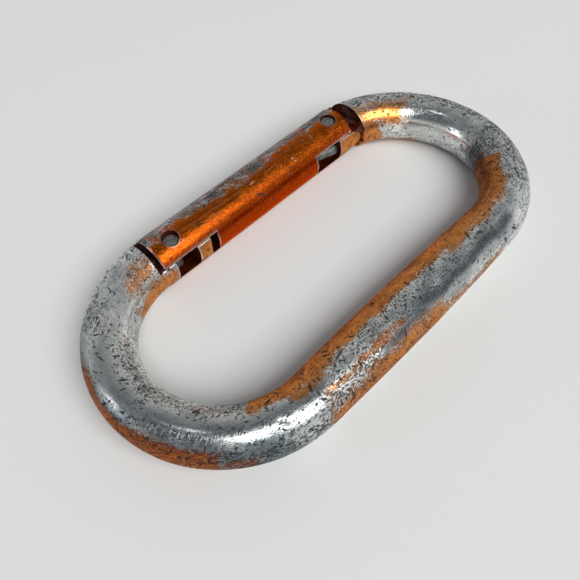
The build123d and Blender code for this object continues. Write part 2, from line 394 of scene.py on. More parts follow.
# Patches of anodising left on the body: from s, to s, from angle, to angle, how sound it is, how soft its edge is.
bodyColour = {
    "tongue": (-14, -2.6, -5, 365, 0.9, 0.5), "tang": (187.5, 215, -5, 365, 0.95, 0.5),
    "latchInside": (-3, 15, 152, 222, 0.78, 3), "latchTop": (2, 12, 94, 150, 0.66, 2.8),
    "latchOutside": (24, 52, -34, 44, 0.9, 3), "latchOutsideTail": (15, 27, -40, 4, 0.64, 4),
    "latchOutsideFade": (50, 59, -30, 34, 0.6, 3), "backOutside": (69, 99, -24, 44, 0.82, 3.5),
    "backShine": (69, 91, 48, 72, 0.80, 2.6), "backOutsidePink": (96, 120, -28, 30, 0.66, 3.5),
    "backInsideStart": (46, 58, 108, 134, 0.6, 2.2), "backInside": (57, 143, 99, 232, 1, 2.2),
    "backInsideRise": (108, 132, 90, 112, 0.85, 2), "backInsideDip": (63, 72, 90, 110, 0.9, 1.6),
    "hingeInside": (122, 146, 128, 228, 0.8, 5), "hingeBow": (171, 187.5, 99, 165, 0.92, 4.5),
    "hingeShoulder": (179, 190, 150, 235, 0.9, 3), "underLatch": (-2, 14, 225, 275, 0.7, 3),
    "underBack": (60, 128, 228, 256, 0.8, 3.5), "underOutside": (20, 56, 300, 330, 0.85, 3.5),
    "underHinge": (166, 188, 215, 262, 0.85, 3.5), "hingeOutsideTrace": (150, 166, 300, 345, 0.5, 4),
}

# Where the knocks and scratches crowd together.
bodyScuffed = {
    "latchOuterTop": (-2, 22, 30, 84, 0.62, 4), "latchCrown": (16, 66, 92, 150, 0.80, 5),
    "outerRun": (52, 72, -30, 44, 1, 4), "backOuter": (68, 98, -20, 46, 0.75, 4),
    "colourEdge": (60, 104, 78, 104, 0.95, 3), "crossing": (69, 79, 10, 66, 0.9, 3),
    "stripMarks": (58, 142, 98, 134, 0.35, 2), "highlightPits": (56, 72, 44, 82, 0.4, 3),
    "outerMarks": (20, 56, -30, 55, 0.5, 3), "hingeCluster": (145, 154, 98, 182, 0.9, 3),
    "hingeStreaks": (132, 188, 36, 104, 1.15, 4), "hingeBend": (136, 151, 96, 178, 1, 2.5),
    "backFar": (104, 142, 20, 92, 0.45, 5), "underBows": (10, 60, 210, 290, 0.6, 6),
    "underBackRun": (70, 125, 262, 330, 0.7, 6), "underHingeRun": (135, 180, 230, 320, 0.7, 6),
}

# Painted shade: where the colour is painted deeper and bare metal darker, for the shaded inner and outer sides of
# the bar and the dark reflections along its top.
bodyPaintedShade = {
    "latchOutside": (16, 62, -60, 60, 1, 2.5), "backOutside": (68, 100, -30, 12, 0.6, 3.5),
    "backInside": (50, 148, 133, 230, 1, 1.4), "hingeInside": (122, 150, 130, 230, 0.8, 4),
    "backBand": (84, 125, 36, 73, 1, 2.4), "hingeInnerShade": (148, 170, 158, 205, 0.3, 3),
    "latchBand": (24, 70, 66, 90, 0.5, 2.5), "latchInnerShade": (10, 56, 160, 205, 0.35, 3),
}

# Where the bare metal is rubbed smooth and shines.
bodySmooth = {
    "latchInsideTop": (9, 25, 106, 154, 0.8, 2), "topBand": (25, 72, 60, 97, 0.92, 1.8),
    "backBand": (84, 128, 33, 71, 0.98, 1.6), "hingeCrown": (151, 172, 106, 195, 0.95, 3),
    "hingeGold": (169, 188, 104, 168, 0.9, 2), "underBand": (80, 120, 285, 305, 0.8, 3),
    "underCrown": (20, 50, 250, 285, 0.6, 4),
}


def milledSpan(x, y):
    # Which places lie along the gate's side of the oval, and which of those lie between the two shoulders.
    milled = (np.abs(x) < 40) & (y > 10)
    slack = 0.05
    return milled, milled & (x > milledEnds["latchShoulderX"] - slack) & (x < milledEnds["hingeShoulderX"] + slack)


def brightEdges(x, out, up, milled, between):
    # The rubbed edge along each milled corner, fading over about a seventh of a millimetre.
    flatHeight, outerOnly = milledEnds["halfThickness"], 4.6
    flat = between & (np.abs(up) < flatHeight + 0.02)
    rim = np.exp(-np.abs(np.abs(up) - flatHeight) / 0.14) * flat * (np.abs(out) > outerOnly)
    for edge in ("notchRootX", "notchHookX", "hookTipX", "stepX"):
        rim = np.maximum(rim, np.exp(-np.abs(x - milledEnds[edge]) / 0.14) * flat * (out < -outerOnly))
    outside = milled & (np.hypot(out, up) > 5.5) & (np.abs(up) > flatHeight)
    for edge in ("latchShoulderX", "hingeShoulderX"):
        rim = np.maximum(rim, 0.7 * np.exp(-np.abs(x - milledEnds[edge]) / 0.12) * outside)
    return rim


def setOrangeWear(piece):
    mesh = piece.data
    points = readVectors(mesh.vertices, "co")
    s, phi, out, up = barPlace(points)
    writePoints(
        mesh,
        bar=np.stack([s, out, up], 1),
        cover=patchCover(s, phi, bodyColour),
        scuffed=patchCover(s, phi, bodyScuffed, 33),
        # deep: painted shade and dark reflections, from the painted shade table
        deep=patchCover(s, phi, bodyPaintedShade, 51),
        rubbed=patchCover(s, phi, bodySmooth, 57),
        dent=np.clip(dentDepth(s, phi, dents) / 0.1, 0, 1),
    )
    rim = brightEdges(points[:, 0], out, up, *milledSpan(points[:, 0], points[:, 1]))

    # Hollow faces, painted near black as shade: the flats of tongue and tang, and the shoulders inside their round
    # edge.
    middle = readVectors(mesh.polygons, "center")
    x = middle[:, 0]
    out, up = barPlace(middle)[2:]
    milled, between = milledSpan(x, middle[:, 1])
    flat = between & (np.abs(up) < milledEnds["halfThickness"] + 0.02) & (np.abs(out) < 5.0)
    shoulders = (milledEnds["latchShoulderX"], milledEnds["hingeShoulderX"])
    onShoulder = np.min([np.abs(x - shoulder) for shoulder in shoulders], 0) < 0.02
    inward = np.hypot(out, up) < barRadius - 0.1
    writeFaces(mesh, s, phi, rim, flat | (onShoulder & milled & inward))


class Wires:
    # Short ways to add and join shader nodes.
    def __init__(self, owner):
        owner.use_nodes = True
        self.tree = owner.node_tree
        self.tree.nodes.clear()

    def add(self, kind, inputs=(), **settings):
        # A node with the given settings. Each input is a socket to join or a constant to set.
        node = self.tree.nodes.new(kind)
        for key, value in settings.items():
            setattr(node, key, value)
        for key, value in dict(inputs).items():
            self.join(value, node.inputs[key])
        return node

    def join(self, source, socket):
        if isinstance(source, bpy.types.NodeSocket):
            self.tree.links.new(source, socket)
        else:
            socket.default_value = source

    def show(self, shader, kind="ShaderNodeOutputMaterial"):
        self.add(kind, {"Surface": shader.outputs[0]})

    def math(self, operation, *values, clamp=False):
        return self.add("ShaderNodeMath", enumerate(values), operation=operation, use_clamp=clamp).outputs[0]

    def times(self, a, b, clamp=False):
        return self.math("MULTIPLY", a, b, clamp=clamp)

    def timesPlus(self, a, b, c):
        return self.math("MULTIPLY_ADD", a, b, c)

    def minus(self, a, b, clamp=False):
        return self.math("SUBTRACT", a, b, clamp=clamp)

    def strongest(self, *masks, clamp=False):
        most = masks[0]
        for mask in masks[1:]:
            most = self.math("MAXIMUM", most, mask, clamp=clamp)
        return most

    def ease(self, value, low, high, toLow=0.0, toHigh=1.0):
        ends = enumerate((value, low, high, toLow, toHigh))
        return self.add("ShaderNodeMapRange", ends, interpolation_type="SMOOTHSTEP").outputs[0]

    def blend(self, share, a, b):
        # Colour a where share is 0, and b where it is 1.
        a, b = ((*colour, 1.0) if isinstance(colour, tuple) else colour for colour in (a, b))
        inputs = {"Factor": share, 6: a, 7: b}
        return self.add("ShaderNodeMix", inputs, data_type="RGBA", clamp_factor=True).outputs[2]

    def attribute(self, name, output="Fac"):
        return self.add("ShaderNodeAttribute", attribute_name=name).outputs[output]

    def place(self, vector, scale=(1, 1, 1), turn=0.0, shift=(0, 0, 0)):
        inputs = {"Vector": vector, "Location": shift, "Rotation": (0, 0, turn), "Scale": scale}
        return self.add("ShaderNodeMapping", inputs, vector_type="POINT").outputs[0]

    def noise(self, vector, scale, detail=4.0, rough=0.55, warp=0.0):
        inputs = {"Vector": vector, "Scale": scale, "Detail": detail, "Roughness": rough, "Distortion": warp}
        return self.add("ShaderNodeTexNoise", inputs, noise_dimensions="3D").outputs["Fac"]

    def cells(self, vector, scale, dimensions="3D"):
        inputs = {"Vector": vector, "Scale": scale}
        node = self.add("ShaderNodeTexVoronoi", inputs, voronoi_dimensions=dimensions, feature="F1")
        pick = self.add("ShaderNodeSeparateColor", {0: node.outputs["Color"]})
        return node.outputs["Distance"], pick.outputs[0], pick.outputs[1]

    def dashes(self, skin, angle, length, width, share, shift, ragged):
        # Short straight cuts: stretched cells, a share of them filled near their middle.
        turned = self.place(skin, turn=math.radians(-angle), shift=(shift, shift * 0.37, 0))
        squeezed = self.place(turned, scale=(0.3 / length, 0.3 / width, 1))
        distance, chance, size = self.cells(squeezed, 1.0, "2D")
        reach = self.times(self.timesPlus(size, 0.14, 0.05), self.ease(ragged, 0.30, 0.62, 0.6, 1.35))
        inside = self.ease(self.minus(reach, distance), 0.0, 0.03)
        return self.times(inside, self.math("LESS_THAN", chance, share))

    def hairs(self, skin, angle, length, width, level, shift):
        # Long fine scratches: thin level lines of a stretched noise.
        turned = self.place(skin, turn=math.radians(-angle), shift=(shift, -shift, 0))
        squeezed = self.place(turned, scale=(1 / length, 1 / width, 1))
        away = self.math("ABSOLUTE", self.minus(self.noise(squeezed, 1.0, 2.0, 0.5), 0.5))
        return self.ease(away, level, 0.0)

    def principled(self, inputs, height, depth, strength):
        # A surface with a small relief, shown as it is.
        relief = self.add("ShaderNodeBump", {"Strength": strength, "Distance": depth, "Height": height})
        self.show(self.add("ShaderNodeBsdfPrincipled", {**inputs, "Normal": relief.outputs[0]}))


def darkMarks(w, finish, skin, bar, share, keeps, fine):
    # Cuts, fine scratches and pits. Share is how crowded they are, and keeps how many stay on sound colour.
    cuts = [w.dashes(skin, angle, length, width, w.times(share, part), shift, fine)
            for angle, length, width, shift, part in finish["cuts"]]
    hairs = w.strongest(*(w.hairs(skin, *hair) for hair in finish["hairs"]))
    hairs = w.times(hairs, w.times(keeps, 0.5))
    pits = []
    for turn, scale in ((40, 1.35), (-35, 2.1)):
        turned = w.place(bar, scale=(0.62, 1, 1), turn=math.radians(turn))
        distance, chance, size = w.cells(turned, scale * finish["pitScale"])
        reach = w.timesPlus(size, 0.26, 0.08)
        reach = w.times(reach, w.ease(fine, 0.30, 0.62, 0.5, 1.4))
        chosen = w.math("LESS_THAN", chance, w.times(share, finish["pitShare"]))
        pits.append(w.times(w.ease(w.minus(reach, distance), 0.0, 0.05), chosen))
    return w.strongest(*cuts, *pits), hairs


def bareMetal(w, finish, metalShade, fine, rubbed, deep):
    # Bare aluminium: pale where it is rubbed, grey in clouds and grains, and darkened by painted shade and dark
    # reflections where the deep mask is high.
    bare = w.blend(w.strongest(w.ease(metalShade, 0.36, 0.58), rubbed), finish["bareDark"], finish["bareLight"])
    grains = w.times(w.ease(fine, 0.50, 0.70), w.timesPlus(rubbed, -0.3, 0.4))
    bare = w.blend(grains, bare, finish["bareDark"])
    return w.blend(w.times(deep, 0.85), bare, finish["bareShaded"])


def orangeSkin(w, finish, bar, fray, speckNoise, fine, deep):
    # The colour itself: paler where it wears thin, deeper in mottles, deeper again where the deep mask paints
    # shade and dark reflections, with a dark grain.
    thin = w.times(w.ease(fray, 0.82, 0.50), finish["thinShare"])
    orange = w.blend(thin, finish["orange"], finish["orangePale"])
    paintedShadeShare = w.times(deep, w.ease(speckNoise, 0.36, 0.56, 0.45, 1.0))
    mottle = w.ease(w.noise(bar, 0.35, 5.0, 0.6), 0.56, 0.40, 0.0, finish["mottle"])
    orange = w.blend(w.strongest(mottle, paintedShadeShare), orange, finish["orangeMottleAndShade"])
    return w.blend(w.ease(fine, 0.46, 0.66, 0.0, finish["grain"]), orange, finish["orangeGrain"])


def wornAnodising(name, finish):
    # Orange anodising over scratched aluminium. Cover says how much is left, and noise frays its edge.
    material = bpy.data.materials.new(name)
    w = Wires(material)
    bar = w.attribute("bar", "Vector")
    skin = w.add("ShaderNodeUVMap", uv_map="skin").outputs[0]
    # Two of these layers carry painted shade: hollow paints recesses near black, and deep paints shaded sides and
    # dark reflections.
    layers = ("cover", "rim", "hollowShade", "dent", "scuffed", "deep", "rubbed")
    cover, rim, hollowShade, dent, scuffed, deep, rubbed = map(w.attribute, layers)

    fine = w.noise(w.place(bar, scale=(0.6, 1, 1)), 4.5, 3.0, 0.6)
    patchNoise = w.noise(w.place(bar, scale=(0.7, 1, 1)), finish["patchScale"], 3.0, 0.55, 0.3)
    speckNoise = w.noise(w.place(bar, scale=finish["speckStretch"]), finish["speckScale"], 6.0, 0.72)
    metalShade = w.noise(w.place(bar, scale=(0.35, 1, 1)), 0.6, 5.0, 0.65)
    fray = w.timesPlus(w.minus(patchNoise, 0.5), finish["patchFray"], cover)
    fray = w.timesPlus(w.minus(speckNoise, 0.5), finish["speckFray"], fray)
    sound = w.ease(fray, 0.455, 0.575)

    # Marks crowd where the bar is scuffed and keep off the rubbed places.
    crowdNoise = w.ease(w.noise(bar, 0.22, 3.0), 0.36, 0.64)
    crowd = w.timesPlus(scuffed, 0.70, w.times(crowdNoise, 0.30))
    crowd = w.times(crowd, w.timesPlus(rubbed, -0.75, 1.0), clamp=True)
    share = w.timesPlus(crowd, finish["cutShare"], 0.06)
    keeps = w.timesPlus(sound, finish["cutsOnColour"] - 1.0, 1.0)
    share = w.times(share, keeps)
    marks, hairs = darkMarks(w, finish, skin, bar, share, keeps, fine)
    specks = w.ease(w.timesPlus(crowd, finish["speckLift"], speckNoise), 0.62, 0.64)
    specks = w.times(specks, w.times(keeps, 0.9))
    inDents = w.times(dent, w.ease(speckNoise, 0.36, 0.56))
    edge = w.ease(w.math("ABSOLUTE", w.minus(fray, 0.51)), 0.07, 0.01, 0.0, finish["edgeGrime"])
    edge = w.times(edge, w.ease(fine, 0.40, 0.56))
    dark = w.strongest(marks, specks, inDents, edge, hairs, clamp=True)

    bare = bareMetal(w, finish, metalShade, fine, rubbed, deep)
    colour = w.blend(sound, bare, orangeSkin(w, finish, bar, fray, speckNoise, fine, deep))
    colour = w.blend(w.times(rim, 0.9), colour, finish["rimColour"])
    colour = w.blend(w.times(dark, 0.95), colour, finish["grime"])
    # Painted shade: hollow faces take a near-black colour, for the shade in recesses and slots.
    shaded = w.times(hollowShade, w.ease(patchNoise, 0.35, 0.60, 0.84, 1.0))
    colour = w.blend(shaded, colour, finish["hollowShadeColour"])

    rough = w.timesPlus(sound, finish["soundRough"] - finish["bareRough"], finish["bareRough"])
    rough = w.timesPlus(w.minus(metalShade, 0.5), 0.15, rough)
    for mask, more in ((crowd, 0.16), (rubbed, -0.14), (dark, 0.35)):
        rough = w.timesPlus(mask, more, rough)
    rough = w.strongest(rough, 0.10, w.times(hollowShade, 0.65), clamp=True)

    height = w.timesPlus(dark, -1.0, w.times(fine, finish["grainDepth"]))
    height = w.timesPlus(sound, 0.15, height)
    orangePeel = w.noise(w.place(bar, scale=(0.7, 1, 1)), 1.9, 2.0, 0.6)
    height = w.timesPlus(orangePeel, finish["peel"], height)
    # The coat is the clear oxide over the colour.
    clear = w.minus(sound, dark, clamp=True)
    w.principled({
        "Base Color": colour,
        "Roughness": rough,
        "Metallic": w.timesPlus(dark, -0.6, 1.0),
        "Specular Tint": w.blend(sound, (1.0, 1.0, 1.0), finish["edgeTint"]),
        "Coat Weight": w.times(clear, finish["clear"]),
        "Coat Roughness": 0.16,
        "Coat IOR": 1.6,
    }, height, 0.00006, w.timesPlus(rubbed, -0.9 * finish["bump"], finish["bump"]))
    return material


# Cuts are given by angle, length, width, shift and share, hairs by angle, length, width, level and shift.
bodyFinish = {
    "patchScale": 0.42, "patchFray": 0.5, "speckScale": 3.4, "speckFray": 2.0, "speckStretch": (0.6, 1, 1),
    "speckLift": 0.15, "pitScale": 1.0, "pitShare": 1.5, "cutShare": 0.65, "cutsOnColour": 0.8,
    "cuts": ((62, 1.6, 0.46, 3.0, 0.55), (28, 1.9, 0.42, 17.0, 0.4), (-48, 1.3, 0.40, 41.0, 0.5),
             (5, 1.7, 0.40, 71.0, 0.4), (80, 1.2, 0.40, 93.0, 0.5), (48, 0.8, 0.28, 131.0, 0.8),
             (-15, 1.0, 0.26, 151.0, 0.7), (86, 0.8, 0.25, 173.0, 0.8), (22, 0.6, 0.25, 197.0, 0.9)),
    "hairs": ((12, 9.0, 0.5, 0.020, 5.0), (-28, 7.0, 0.55, 0.016, 25.0), (74, 5.0, 0.5, 0.018, 55.0)),
    # The third bare colour is painted shade and dark reflections on bare metal, laid on through the deep mask.
    "bareLight": (0.95, 0.97, 0.94), "bareDark": (0.60, 0.64, 0.66), "bareShaded": (0.10, 0.145, 0.175),
    "grime": (0.012, 0.016, 0.016), "rimColour": (0.9, 0.9, 0.88),
    # The deep orange is both a random mottle and painted shade, laid on through the deep mask.
    "orange": (0.92, 0.36, 0.09), "orangeMottleAndShade": (0.24, 0.036, 0.004), "orangePale": (0.52, 0.31, 0.16),
    "orangeGrain": (0.36, 0.10, 0.02), "edgeTint": (1.0, 0.70, 0.5),
    # The hollow colour is painted shade: near black for the recesses and slots.
    "thinShare": 0.7, "mottle": 0.35, "grain": 0.45, "grainDepth": 0.04, "hollowShadeColour": (0.065, 0.004, 0.0015),
    "bareRough": 0.25, "soundRough": 0.30, "bump": 1.0, "clear": 0.1, "edgeGrime": 0.7, "peel": 0.12,
}
gateFinish = {
    "patchScale": 0.5, "patchFray": 0.5, "speckScale": 3.0, "speckFray": 2.6, "speckStretch": (0.45, 1, 1),
    "speckLift": 0.27, "pitScale": 0.9, "pitShare": 1.5, "cutShare": 1.0, "cutsOnColour": 0.30,
    "cuts": ((62, 1.2, 0.40, 3.0, 0.9), (28, 1.8, 0.42, 17.0, 0.9), (-48, 0.9, 0.36, 41.0, 0.9),
             (5, 1.9, 0.40, 71.0, 1.0)),
    "hairs": ((12, 9.0, 0.5, 0.020, 5.0), (-28, 7.0, 0.55, 0.014, 25.0), (74, 5.0, 0.5, 0.014, 55.0)),
    # The third bare colour is painted shade on bare metal, laid on through the deep mask.
    "bareLight": (0.66, 0.69, 0.70), "bareDark": (0.13, 0.15, 0.155), "bareShaded": (0.2, 0.2, 0.18),
    "grime": (0.02, 0.023, 0.023), "rimColour": (0.9, 0.9, 0.86),
    # The deep orange is both a random mottle and painted shade, laid on through the deep mask.
    "orange": (0.65, 0.152, 0.008), "orangeMottleAndShade": (0.40, 0.030, 0.002), "orangePale": (0.68, 0.24, 0.07),
    "orangeGrain": (0.42, 0.050, 0.002), "edgeTint": (0.95, 0.42, 0.2),
    # The hollow colour is painted shade: near black for the recesses and slots.
    "thinShare": 0.6, "mottle": 0.3, "grain": 0.75, "grainDepth": 0.5, "hollowShadeColour": (0.05, 0.0035, 0.0015),
    "bareRough": 0.30, "soundRough": 0.24, "bump": 0.9, "clear": 0.0, "edgeGrime": 0.9, "peel": 0.55,
}


def dress(piece, material):
    piece.data.materials.clear()
    piece.data.materials.append(material)


# Body
body = fillMesh("carabinerBody", *tubeWithEnds(barGrid()))
pinPlace = (milledEnds["hingeX"], milledEnds["hingeY"], 0)
cutAway(body, [roundCutter("pinHole", "z", pinPlace, milledEnds["pinHole"], 0, 2 * axisZ)])
body.data.set_sharp_from_angle(angle=math.radians(38))
setOrangeWear(body)
dress(body, wornAnodising("wornOrangeBody", bodyFinish))
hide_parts("body")
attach(body, "frame")
print("body", len(body.data.polygons))

gateForm = {
    "latchX": -27.3, "hingeX": 29.0, "radius": 5.65, "edgeBreak": 0.35, "slotHalf": 2.65, "cutterRadius": 25.0,
    "slots": ((-13.2, -1), (16.1, 1)),  # the deepest place of each, and the side that it opens to
    "boreRadius": 3.3, "boreBottomX": -2.9, "counterbore": 1.85, "rivetRadius": 1.4,
    "latchRivet": (-22.55, 20.9), "hingeRivet": (25.25, 21.85), "headBottom": (4.0, 4.1),
    "dips": ((-8, 1.2, 82, 7, 0.07), (3.5, 1.0, 78, 12, 0.06)),  # x, length, angle, width in degrees, depth
    "rows": 300, "columns": 200,
}

# Wear on the gate: from x, to x, from angle, to angle, how much bare metal shows, how soft its edge is.
gateBare = {
    "outerSide": (-28, 30, -75, 62, 0.95, 3), "outerTop": (-25, 19, 50, 86, 0.78, 2.4),
    "latchCorner": (-28, -24.8, 45, 92, 0.85, 1.4), "hingeCorner": (19, 30, 45, 84, 0.85, 2.4),
    "scuffA": (-17, -7, 80, 96, 0.77, 1), "scuffB": (-9.6, -6.6, 78, 89, 0.82, 0.8),
    "scuffC": (-4, 8, 86, 98, 0.73, 1), "scuffD": (1.2, 5.8, 64, 93, 0.77, 1),
    "scuffE": (17.6, 18.4, 92, 110, 0.56, 0.5), "chipA": (-20.6, -19.8, 126, 130, 0.75, 0.35),
    "chipB": (-1.3, 0.3, 114, 120, 0.62, 0.4), "chipC": (3.5, 7, 111, 113, 0.60, 0.3),
    "chipD": (7.7, 8.7, 144, 149, 0.62, 0.35), "chipE": (10.2, 10.8, 117, 132, 0.56, 0.3),
    "underSide": (-20, 22, 265, 288, 0.62, 3), "underInner": (-10, 12, 218, 232, 0.45, 2),
}

# Long scratches on the gate: from x, from angle, to x, to angle, width, strength.
gateScores = {
    "long": (-21, 106.5, -4, 112, 0.22, 1), "short": (-17, 118, -10, 125, 0.17, 0.8),
    "crossing": (-12, 96, -8.5, 104, 0.18, 0.9), "latchEnd": (-26, 84, -21, 88, 0.2, 0.9),
    "middle": (6, 99, 13, 96, 0.17, 0.8), "knotA": (-13.5, 88, -11.6, 94, 0.5, 1),
    "knotB": (-9.4, 82, -7.6, 91, 0.55, 1), "knotC": (2.4, 76, 4.2, 88, 0.5, 1),
    "middleLow": (-3, 104, 2, 101, 0.15, 0.8), "hingeEnd": (13, 104, 17, 112, 0.15, 0.8),
    "crowdA": (-9.5, 74, -5.5, 90, 0.4, 1), "crowdB": (-14, 88, -9, 84, 0.28, 1),
    "crowdC": (2, 62, 4.6, 94, 0.35, 1), "crowdD": (0, 86, 6, 82, 0.28, 1),
    "crowdE": (8, 72, 13, 78, 0.25, 0.9), "crowdF": (-20, 70, -15, 76, 0.25, 0.9),
    "chip": (8.1, 144, 8.6, 149, 0.3, 0.9), "under": (-6, 252, 4, 246, 0.2, 0.9),
}


def gateGrid():
    # Circles along the gate's axis, drawn in at both ends by the edge break.
    g = gateForm
    edge = g["edgeBreak"]
    straight = np.linspace(g["latchX"] + edge, g["hingeX"] - edge, g["rows"])
    x = np.concatenate([[g["latchX"]] * 4, straight, [g["hingeX"]] * 4])
    inner = g["radius"] - edge
    steps = inner * np.array([0.25, 0.5, 0.75, 1.0])
    radius = np.concatenate([steps, np.full(g["rows"], g["radius"]), steps[::-1]])
    phi = np.linspace(0, 2 * math.pi, g["columns"], endpoint=False) + 0.011
    x, radius, turn = x[:, None], radius[:, None], phi[None, :]
    wavy = 0.02 * softNoise(x * 0.8, radius * np.cos(turn), radius * np.sin(turn), 9) - 0.024
    dip = sum(depth * np.exp(-((x - dipX) / length) ** 2 - ((np.degrees(turn) - angle) / width) ** 2)
              for dipX, length, angle, width, depth in g["dips"])
    inSpan = smooth(0, 2, np.minimum(x - g["latchX"] - edge, g["hingeX"] - edge - x))
    radius = radius + (wavy - dip) * inSpan
    y, z = axisY + radius * np.cos(turn), axisZ + radius * np.sin(turn)
    return np.stack([np.broadcast_to(x, y.shape), y, z], 2)[::-1]


def makeGate():
    g = gateForm
    gate = fillMesh("gateBarrel", *tubeWithEnds(gateGrid()))
    cutters, past = [], 7  # past the skin on either side
    for slotX, away in g["slots"]:
        centre = (slotX + away * g["cutterRadius"], axisY, axisZ)
        cutters.append(roundCutter("slot", "z", centre, g["cutterRadius"], -g["slotHalf"], g["slotHalf"], 512))
    bore = (g["boreRadius"], g["boreBottomX"], g["hingeX"] + 1)
    cutters.append(roundCutter("bore", "x", (0, axisY, axisZ), *bore, 64))
    for (rivetX, rivetY), seat in zip((g["latchRivet"], g["hingeRivet"]), g["headBottom"]):
        centre = (rivetX, rivetY, axisZ)
        cutters.append(roundCutter("rivetHole", "z", centre, g["rivetRadius"] + 0.01, -past, past, 48))
        cutters.append(roundCutter("sinkTop", "z", centre, g["counterbore"], seat, past, 64))
        cutters.append(roundCutter("sinkUnder", "z", centre, g["counterbore"], -past, -seat, 64))
    cutAway(gate, cutters)
    gate.data.set_sharp_from_angle(angle=math.radians(32))
    return gate


def pastSlot(x, out, slotX, away):
    # How far a place is outside the round cutter of a slot.
    reach = gateForm["cutterRadius"]
    return np.hypot(x - slotX - away * reach, out) - reach


def setGateWear(piece):
    g = gateForm
    mesh = piece.data
    rivets = (g["latchRivet"], g["hingeRivet"])

    def readPlaces(items, field):
        # Length along the gate, y, and the place across its section as two sides and a radius.
        x, y, z = readVectors(items, field).T
        return x, y, y - axisY, z - axisZ, np.hypot(y - axisY, z - axisZ)

    x, y, out, up, radius = readPlaces(mesh.vertices, "co")
    phi = np.mod(np.arctan2(up, out), 2 * math.pi)
    along = x + 300  # well past the body's length, so that the gate has marks of its own
    bare = patchCover(x, phi, gateBare, 45)
    writePoints(
        mesh,
        bar=np.stack([along, out, up], 1),
        cover=1.05 - bare,
        scuffed=np.clip(1.2 * bare - 0.1, 0, 1.0),
        # Painted shade: deep darkens the colour towards the gate's inner side, strongest near 166 degrees.
        deep=smooth(1.2, 0, np.abs(phi - 2.9)),
        rubbed=np.full(len(x), 0.3),
        dent=np.clip(dentDepth(x, phi, gateScores), 0, 1),
    )
    rim = np.zeros(len(x))
    for slot in g["slots"]:
        gap = np.hypot(np.maximum(pastSlot(x, out, *slot), 0), np.maximum(np.abs(up) - g["slotHalf"], 0))
        rim = np.maximum(rim, np.exp(-gap / 0.13))
    for rivetX, rivetY in rivets:
        gap = np.abs(np.hypot(x - rivetX, y - rivetY) - g["counterbore"])
        rim = np.maximum(rim, 0.4 * np.exp(-gap / 0.10))
    ends = np.minimum(x - g["latchX"], g["hingeX"] - x)
    rim = np.maximum(rim, 0.7 * (ends < g["edgeBreak"] * 0.6) * (radius > g["radius"] - 0.4))
    rim = rim * (radius > g["radius"] - 0.5)

    # Hollow faces, painted near black as shade: the ends, the bore, the walls of the slots and the counterbores.
    x, y, out, up, radius = readPlaces(mesh.polygons, "center")
    ends = np.minimum(x - g["latchX"], g["hingeX"] - x)
    hollowShade = (ends < 0.05) & (radius < g["radius"] - g["edgeBreak"] - 0.1)
    hollowShade |= (radius < g["boreRadius"] + 0.02) & (x > g["boreBottomX"] - 0.1)
    for slot in g["slots"]:
        inSlot = (pastSlot(x, out, *slot) < 0.02) & (np.abs(up) < g["slotHalf"] + 0.02)
        hollowShade |= inSlot & (radius < g["radius"] - 0.01)
    for rivetX, rivetY in rivets:
        sunk = np.hypot(x - rivetX, y - rivetY) < g["counterbore"] + 0.02
        hollowShade |= sunk & (radius < g["radius"] - 0.1)
    writeFaces(mesh, along, phi, rim, hollowShade)


gate = makeGate()
setGateWear(gate)
dress(gate, wornAnodising("wornOrangeGate", gateFinish))
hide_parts("gate")
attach(gate, "gate")
print("gate", len(gate.data.polygons))


def scratchedSteel(name, light, dark, roughness):
    # Dull steel on the piece's own coordinates: cloudy shade, small pits and fine scratches.
    material = bpy.data.materials.new(name)
    w = Wires(material)
    place = w.add("ShaderNodeTexCoord").outputs["Object"]
    cloud = w.noise(place, 900.0, 5.0, 0.6)
    fine = w.noise(w.place(place, scale=(1, 6, 1)), 2500.0, 3.0, 0.6)
    distance, chance, size = w.cells(place, 1800.0)
    pits = w.times(w.ease(distance, 0.30, 0.12), w.math("LESS_THAN", chance, 0.25))
    colour = w.blend(w.ease(cloud, 0.35, 0.65), dark, light)
    colour = w.blend(w.times(pits, 0.7), colour, (0.03, 0.03, 0.032))
    rough = w.timesPlus(w.minus(cloud, 0.5), 0.3, roughness)
    height = w.minus(w.times(fine, 0.4), pits)
    w.principled({"Base Color": colour, "Roughness": rough, "Metallic": 0.9}, height, 0.00004, 0.6)
    return material


gateSpring = {
    "wireRadius": 0.4,
    "turns": 6.0,
    "closedEnds": 0.6,  # how much closer the turns lie at the ends than in the middle
    "rings": 320,
    "wireSides": 12,
    "pushed": 2.1,  # how far the rod's button comes along the spring
}


def springRings():
    # A circle of the wire's radius carried along a helix, whose turns lie closer at both ends.
    low, high = (np.array(corner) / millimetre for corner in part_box("gate_spring"))
    wire = gateSpring["wireRadius"]
    coil = min(high[1] - low[1], high[2] - low[2]) / 2 - wire
    t = np.linspace(0, 1, gateSpring["rings"])
    share = t - gateSpring["closedEnds"] * np.sin(2 * math.pi * t) / (2 * math.pi)
    turn = 2 * math.pi * gateSpring["turns"] * t
    x = low[0] + 1.02 * wire + (high[0] - low[0] - 2.04 * wire) * share
    middleY, middleZ = (low[1:] + high[1:]) / 2
    centre = np.stack([x, middleY + coil * np.cos(turn), middleZ + coil * np.sin(turn)], 1)
    ahead = np.gradient(centre, axis=0)
    ahead /= np.linalg.norm(ahead, axis=1, keepdims=True)
    outward = np.stack([0 * turn, np.cos(turn), np.sin(turn)], 1)
    across = np.cross(ahead, outward)
    across /= np.linalg.norm(across, axis=1, keepdims=True)
    around = np.linspace(0, 2 * math.pi, gateSpring["wireSides"], endpoint=False)[None, :, None]
    rings = centre[:, None] + wire * (np.cos(around) * outward[:, None] + np.sin(around) * across[:, None])
    return rings, low, high


springTube, springLow, springHigh = springRings()
spring = fillMesh("gateSpringCoil", *tubeWithEnds(springTube), 60)
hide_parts("gate_spring")
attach(spring, "gate")
print("spring", len(spring.data.polygons))

